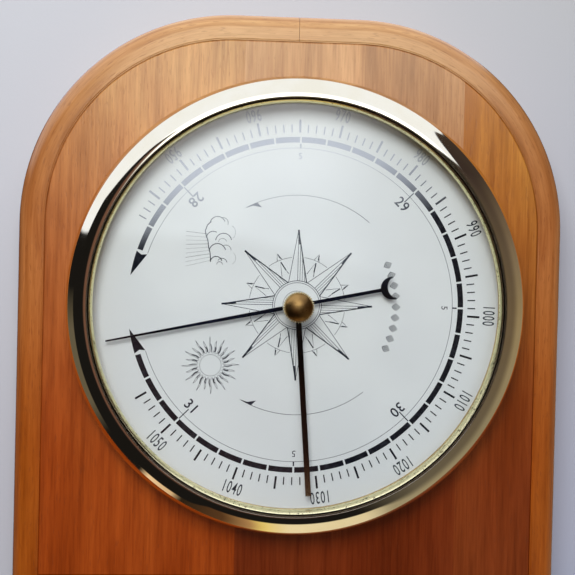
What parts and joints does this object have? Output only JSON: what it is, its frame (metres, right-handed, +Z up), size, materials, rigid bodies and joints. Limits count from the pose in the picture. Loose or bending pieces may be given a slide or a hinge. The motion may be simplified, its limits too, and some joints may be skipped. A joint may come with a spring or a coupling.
{
  "type": "aneroid wall barometer",
  "caption": "Round dial barometer with pointer, set hand and knob under flat glass, let into the bore of an arched wooden plaque, with a keyhole hanger behind.",
  "frame": {"origin": "the place on the plane of the back face where the wall screw rests in the keyhole slot", "axes": "+X to the right seen from the front, +Y into the wall, +Z up; the dial faces -Y"},
  "size_m": [0.16, 0.0349, 0.172],
  "materials": {
    "rim_wood": "glossy brown varnish over light wood",
    "stave_wood": "glossy red-brown varnish",
    "stave_wood_dark": "glossy red-brown varnish, darker board",
    "zinc_steel": "zinc plated",
    "spring_steel": "tempered",
    "case_brass": "drawn, dull",
    "bezel_brass": "polished and lacquered",
    "dial_print": "silvered matt with black print",
    "clear_glass": "clear, flat",
    "knob_brass": "polished",
    "blued_steel": "blue-black",
    "movement_brass": "brushed",
    "capsule_metal": "pale, corrugated",
    "bright_steel": "bright"
  },
  "bodies": {
    "plaque": {"rim_left": "rim_wood", "rim_right": "rim_wood", "rim_foot": "rim_wood", "stave_left": "stave_wood", "stave_centre_upper": "stave_wood", "stave_centre_lower": "stave_wood", "stave_right": "stave_wood_dark", "hanger_plate": "zinc_steel", "hanger_screws": "zinc_steel"},
    "insert": {"case_pot": "case_brass", "retaining_clips": "spring_steel", "clip_rivets": "case_brass", "bezel": "bezel_brass", "dial_plate": "dial_print", "glass_seat": "bezel_brass", "glass": "clear_glass", "glass_bush": "knob_brass", "bush_nut": "knob_brass", "base_plate": "movement_brass", "movement_screws": "zinc_steel", "lower_bridge": "movement_brass", "upper_bridge": "movement_brass", "bridge_pillars": "movement_brass", "bridge_spacers": "movement_brass", "bridge_screws": "bright_steel", "capsule_lower": "capsule_metal", "capsule_upper": "capsule_metal", "spring_bridge": "movement_brass", "main_spring": "spring_steel", "spring_screws": "bright_steel", "rocker_bearings": "movement_brass", "chain": "bright_steel", "hairspring": "spring_steel", "hairspring_stud": "movement_brass"},
    "pointer": {"pointer_hand": "blued_steel", "pointer_arbor": "bright_steel"},
    "set_hand": {"set_knob": "knob_brass", "set_spindle": "knob_brass", "set_hand": "knob_brass"},
    "rocker": {"rocker": "bright_steel"},
    "lever": {"main_lever": "bright_steel"},
    "link": {"link_rod": "bright_steel"},
    "capsule_post": {"capsule_post": "capsule_metal"},
    "adjuster": {"adjusting_screw": "zinc_steel"}
  },
  "joints": [
    {"name": "insert_turn", "type": "hinge", "parent": "plaque", "child": "insert", "pos_m": [0.001, -0.022, -0.072], "axis": [0, -1, 0], "continuous": true},
    {"name": "pointer_turn", "type": "hinge", "parent": "insert", "child": "pointer", "pos_m": [0.001, -0.022, -0.072], "axis": [0, -1, 0], "range_deg": [-3, 339], "deforming": ["hairspring"]},
    {"name": "set_hand_turn", "type": "hinge", "parent": "insert", "child": "set_hand", "pos_m": [0.001, -0.022, -0.072], "axis": [0, -1, 0], "continuous": true},
    {"name": "adjuster_turn", "type": "hinge", "parent": "insert", "child": "adjuster", "pos_m": [0.001, -0.003, -0.048], "axis": [0, 1, 0], "continuous": true},
    {"name": "rocker_turn", "type": "hinge", "parent": "insert", "child": "rocker", "pos_m": [0.001, -0.0087, -0.087], "axis": [1, 0, 0], "range_deg": [-38.5, 0.5], "deforming": ["chain"]},
    {"name": "lever_tilt", "type": "hinge", "parent": "insert", "child": "lever", "pos_m": [0.001, -0.0124, -0.026], "axis": [1, 0, 0], "range_deg": [-1.9, 0.2], "deforming": ["main_spring"]},
    {"name": "link_swing", "type": "hinge", "parent": "lever", "child": "link", "pos_m": [-0.005, -0.0103, -0.08983], "axis": [1, 0, 0], "range_deg": [-0.2, 1.9]},
    {"name": "post_swing", "type": "hinge", "parent": "lever", "child": "capsule_post", "pos_m": [0.001, -0.0124, -0.048], "axis": [1, 0, 0], "range_deg": [-0.2, 1.9], "deforming": ["capsule_upper"]}
  ],
  "couplings": [
    {"joint": "rocker_turn", "follows": "pointer_turn", "ratio": -0.11325},
    {"joint": "lever_tilt", "follows": "pointer_turn", "ratio": -0.0052239},
    {"joint": "link_swing", "follows": "pointer_turn", "ratio": 0.0052239},
    {"joint": "post_swing", "follows": "pointer_turn", "ratio": 0.0052239}
  ]
}
